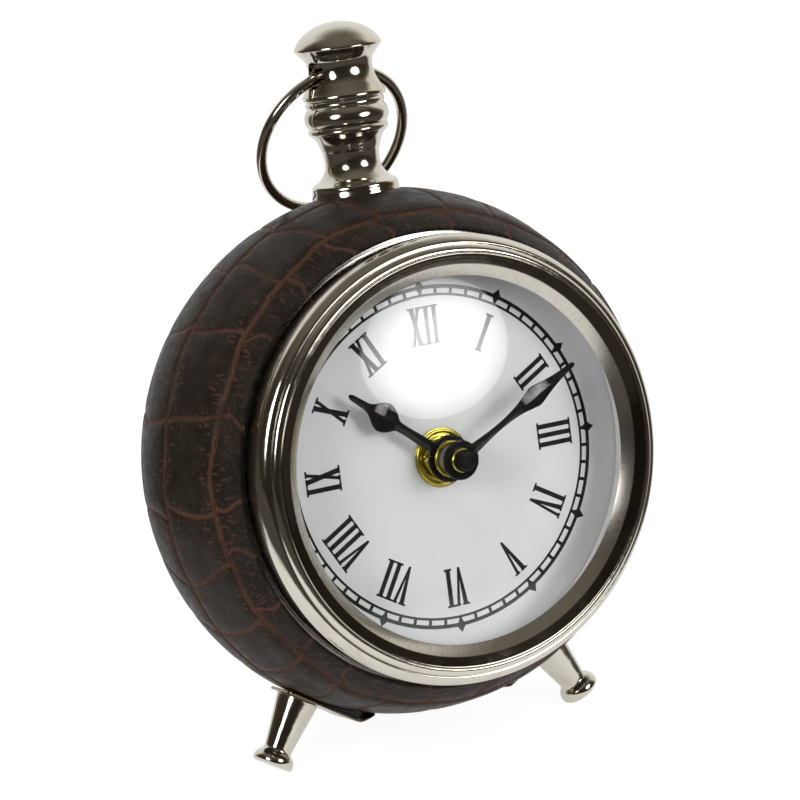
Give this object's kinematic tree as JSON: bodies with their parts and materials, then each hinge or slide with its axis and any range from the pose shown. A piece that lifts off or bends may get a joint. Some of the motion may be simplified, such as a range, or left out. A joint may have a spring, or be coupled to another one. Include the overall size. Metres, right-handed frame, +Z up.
{
  "type": "table clock",
  "caption": "Round table clock in a leather-covered drum that leans back on turned feet, with a nickel bezel, a finial and a bail ring.",
  "frame": {"origin": "on the ground under the middle of the clock's outline", "axes": "+X to the right of someone who reads the dial, +Y to the back of the clock, +Z up; the dial faces -Y and leans back"},
  "size_m": [0.1242, 0.0814, 0.1666],
  "materials": {
    "nickel": "polished nickel plate on brass",
    "leather": "black-brown leather embossed with a large scale",
    "spun_steel": "bare spun or turned steel",
    "glass": "clear domed glass",
    "dial_white": "satin white paint",
    "hand_black": "gloss black lacquer",
    "brass": "bright turned brass",
    "movement_black": "moulded black",
    "gear_white": "moulded white",
    "rubber": "matte",
    "copper": "enamelled copper winding",
    "board_green": "green solder mask",
    "battery_sleeve": "printed sleeve, left plain"
  },
  "bodies": {
    "case": {"case_shell": "spun_steel", "leather_wrap": "leather", "bezel": "nickel", "glass": "glass", "dial_spacer": "dial_white", "dial_plate": "dial_white", "movement_gasket": "rubber", "threaded_bush": "brass", "dial_washer": "brass", "dial_nut": "brass", "movement_front": "movement_black", "movement_back": "movement_black", "train_plate": "movement_black", "circuit_board": "board_green", "drive_coil": "copper", "stator": "spun_steel", "contact_plus": "nickel", "contact_minus": "nickel", "finial": "nickel", "front_foot_left": "nickel", "front_foot_right": "nickel", "foot_saddle_left": "nickel", "foot_saddle_right": "nickel", "rear_foot": "nickel", "finial_screw": "spun_steel", "foot_screw_left": "spun_steel", "foot_screw_right": "spun_steel", "foot_screw_rear": "spun_steel"},
    "minute_arbor": {"cannon_pinion": "gear_white", "minute_hand": "hand_black", "minute_collet": "brass", "cap_nut": "hand_black"},
    "hour_pipe": {"hour_wheel": "gear_white", "hour_hand": "hand_black", "hour_collet": "brass"},
    "setting_staff": {"minute_wheel": "gear_white", "setting_knob": "gear_white"},
    "battery": {"battery": "battery_sleeve"},
    "bail": {"bail_ring": "nickel"},
    "lid": {"rear_lid": "nickel"}
  },
  "joints": [
    {"name": "minute_turn", "type": "hinge", "parent": "case", "child": "minute_arbor", "pos_m": [0, -0.01807, 0.07316], "axis": [0, -0.9715, 0.2368], "continuous": true},
    {"name": "hour_turn", "type": "hinge", "parent": "case", "child": "hour_pipe", "pos_m": [0, -0.01807, 0.07316], "axis": [0, -0.9715, 0.2368], "continuous": true},
    {"name": "setting_turn", "type": "hinge", "parent": "case", "child": "setting_staff", "pos_m": [0, -0.02091, 0.0615], "axis": [0, -0.9715, 0.2368], "continuous": true},
    {"name": "bail_swing", "type": "hinge", "parent": "case", "child": "bail", "pos_m": [0, 0.02726, 0.15395], "axis": [1, 0, 0], "range_deg": [0, 294]},
    {"name": "battery_pull", "type": "slide", "parent": "case", "child": "battery", "axis": [0, 0.9715, -0.2368], "range_m": [0, 0.018]},
    {"name": "lid_pull", "type": "slide", "parent": "case", "child": "lid", "axis": [0, 0.9715, -0.2368], "range_m": [0, 0.012]}
  ],
  "couplings": [
    {"joint": "hour_turn", "follows": "minute_turn", "ratio": 0.083333},
    {"joint": "setting_turn", "follows": "minute_turn", "ratio": -0.33333}
  ]
}
